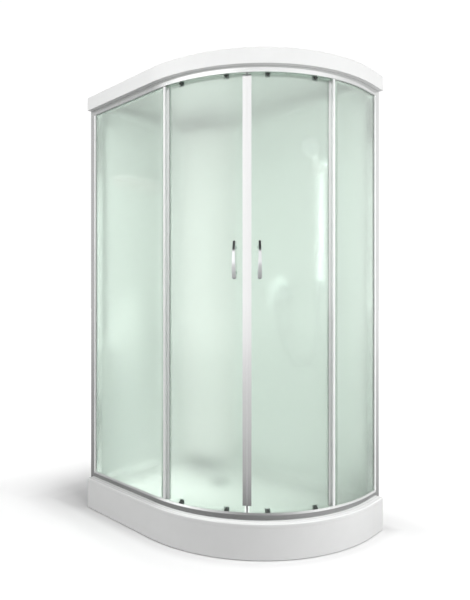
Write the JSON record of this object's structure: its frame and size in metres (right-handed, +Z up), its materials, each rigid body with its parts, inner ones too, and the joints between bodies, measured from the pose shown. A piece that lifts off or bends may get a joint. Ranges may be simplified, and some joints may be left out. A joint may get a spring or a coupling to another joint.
{
  "type": "shower cabin",
  "caption": "Corner shower cabin with a raised tray, frosted curved sliding doors in an aluminium frame, back walls, a roof, a mixer and a hand shower on a slide bar",
  "frame": {"origin": "centre of the bounding box in plan, on the floor under the feet", "axes": "+Z up; +Y towards the long wall at the back; -X towards the short wall; the doors face -Y and +X"},
  "size_m": [1.2, 0.8, 2.106],
  "materials": {
    "acrylic": "glossy white sheet",
    "wall_board": "glossy white board",
    "column_board": "glossy warm white",
    "frame_tube": "grey powder coat",
    "foot_plastic": "black moulded",
    "zinc_steel": "zinc plated",
    "waste_plastic": "moulded",
    "seal_rubber": "matte",
    "chrome": "polished",
    "satin_aluminium": "satin anodised",
    "frosted_glass": "frosted, pale green",
    "clear_seal": "milky soft vinyl",
    "dark_plastic": "dark grey moulded",
    "nylon": "white nylon",
    "shower_plastic": "chrome plated plastic",
    "spray_rubber": "grey spray plate",
    "steel_hose": "wound steel cover"
  },
  "bodies": {
    "cabin": {"bar_brackets": "chrome", "bottom_rail": "satin_aluminium", "corner_column": "column_board", "corner_post": "satin_aluminium", "drain_body": "waste_plastic", "drain_cover": "chrome", "drain_seal": "seal_rubber", "foot_lock_nuts": "zinc_steel", "frame_screws": "zinc_steel", "front_apron": "acrylic", "glass_gaskets": "clear_seal", "left_edge_trim": "satin_aluminium", "left_fixed_glass": "frosted_glass", "left_glass_profile": "satin_aluminium", "left_wall_profile": "satin_aluminium", "long_wall_panel": "wall_board", "mixer_body": "chrome", "right_edge_trim": "satin_aluminium", "right_fixed_glass": "frosted_glass", "right_glass_profile": "satin_aluminium", "right_wall_profile": "satin_aluminium", "roof_shell": "acrylic", "shelf": "column_board", "short_wall_panel": "wall_board", "shower_hose": "steel_hose", "slide_bar": "chrome", "top_rail": "satin_aluminium", "tray_feet": "foot_plastic", "tray_frame": "frame_tube", "tray_shell": "acrylic"},
    "left_door": {"left_bottom_seal": "clear_seal", "left_door_glass": "frosted_glass", "left_handle": "chrome", "left_leading_stile": "satin_aluminium", "left_magnet_seal": "clear_seal", "left_roller_brackets": "zinc_steel", "left_roller_caps": "dark_plastic", "left_trailing_stile": "satin_aluminium"},
    "right_door": {"right_bottom_seal": "clear_seal", "right_door_glass": "frosted_glass", "right_handle": "chrome", "right_leading_stile": "satin_aluminium", "right_magnet_seal": "clear_seal", "right_roller_brackets": "zinc_steel", "right_roller_caps": "dark_plastic", "right_trailing_stile": "satin_aluminium"},
    "left_roller_lead_high": {"left_roller_lead_high": "nylon"},
    "left_roller_lead_low": {"left_roller_lead_low": "nylon"},
    "left_roller_trail_high": {"left_roller_trail_high": "nylon"},
    "left_roller_trail_low": {"left_roller_trail_low": "nylon"},
    "right_roller_lead_high": {"right_roller_lead_high": "nylon"},
    "right_roller_lead_low": {"right_roller_lead_low": "nylon"},
    "right_roller_trail_high": {"right_roller_trail_high": "nylon"},
    "right_roller_trail_low": {"right_roller_trail_low": "nylon"},
    "mixer_cap": {"mixer_cap": "chrome"},
    "mixer_lever": {"mixer_lever": "chrome"},
    "shower_slider": {"shower_slider": "shower_plastic"},
    "handset": {"handset_holder": "shower_plastic", "hand_shower": "shower_plastic", "spray_face": "spray_rubber"}
  },
  "joints": [
    {"name": "left_door_travel", "type": "hinge", "parent": "cabin", "child": "left_door", "pos_m": [-0.1205, 0.3547, 1.09], "axis": [0, 0, -1], "range_deg": [0, 18]},
    {"name": "right_door_travel", "type": "hinge", "parent": "cabin", "child": "right_door", "pos_m": [-0.1, 0.3, 1.09], "axis": [0, 0, 1], "range_deg": [0, 22]},
    {"name": "left_roller_lead_low_spin", "type": "hinge", "parent": "left_door", "child": "left_roller_lead_low", "pos_m": [0.22457, -0.25101, 0.1608], "axis": [0.5075, -0.8616, 0], "continuous": true},
    {"name": "left_roller_lead_high_spin", "type": "hinge", "parent": "left_door", "child": "left_roller_lead_high", "pos_m": [0.22457, -0.25101, 2.0168], "axis": [0.5075, -0.8616, 0], "continuous": true},
    {"name": "left_roller_trail_low_spin", "type": "hinge", "parent": "left_door", "child": "left_roller_trail_low", "pos_m": [0.03514, -0.32506, 0.1608], "axis": [0.2113, -0.9774, 0], "continuous": true},
    {"name": "left_roller_trail_high_spin", "type": "hinge", "parent": "left_door", "child": "left_roller_trail_high", "pos_m": [0.03514, -0.32506, 2.0168], "axis": [0.2113, -0.9774, 0], "continuous": true},
    {"name": "right_roller_lead_low_spin", "type": "hinge", "parent": "right_door", "child": "right_roller_lead_low", "pos_m": [0.35612, -0.14823, 0.1608], "axis": [0.7133, -0.7009, 0], "continuous": true},
    {"name": "right_roller_lead_high_spin", "type": "hinge", "parent": "right_door", "child": "right_roller_lead_high", "pos_m": [0.35612, -0.14823, 2.0168], "axis": [0.7133, -0.7009, 0], "continuous": true},
    {"name": "right_roller_trail_low_spin", "type": "hinge", "parent": "right_door", "child": "right_roller_trail_low", "pos_m": [0.4738, 0.01766, 0.1608], "axis": [0.8973, -0.4415, 0], "continuous": true},
    {"name": "right_roller_trail_high_spin", "type": "hinge", "parent": "right_door", "child": "right_roller_trail_high", "pos_m": [0.4738, 0.01766, 2.0168], "axis": [0.8973, -0.4415, 0], "continuous": true},
    {"name": "mixer_turn", "type": "hinge", "parent": "cabin", "child": "mixer_cap", "pos_m": [0.045, 0.3177, 1.12], "axis": [0, -1, 0], "range_deg": [-45, 45]},
    {"name": "mixer_lift", "type": "hinge", "parent": "mixer_cap", "child": "mixer_lever", "pos_m": [0.045, 0.3034, 1.124], "axis": [-1, 0, 0], "range_deg": [0, 20]},
    {"name": "slider_travel", "type": "slide", "parent": "cabin", "child": "shower_slider", "axis": [0, 0, 1], "range_m": [-0.52, 0.005], "deforming": ["shower_hose"]},
    {"name": "handset_tilt", "type": "hinge", "parent": "shower_slider", "child": "handset", "pos_m": [0.323, 0.272, 1.69], "axis": [1, 0, 0], "range_deg": [-15, 13], "deforming": ["shower_hose"]}
  ],
  "couplings": [
    {"joint": "left_roller_lead_low_spin", "follows": "left_door_travel", "ratio": 87.139},
    {"joint": "left_roller_lead_high_spin", "follows": "left_door_travel", "ratio": 87.139},
    {"joint": "left_roller_trail_low_spin", "follows": "left_door_travel", "ratio": 87.169},
    {"joint": "left_roller_trail_high_spin", "follows": "left_door_travel", "ratio": 87.169},
    {"joint": "right_roller_lead_low_spin", "follows": "right_door_travel", "ratio": -79.938},
    {"joint": "right_roller_lead_high_spin", "follows": "right_door_travel", "ratio": -79.938},
    {"joint": "right_roller_trail_low_spin", "follows": "right_door_travel", "ratio": -79.938},
    {"joint": "right_roller_trail_high_spin", "follows": "right_door_travel", "ratio": -79.938}
  ]
}
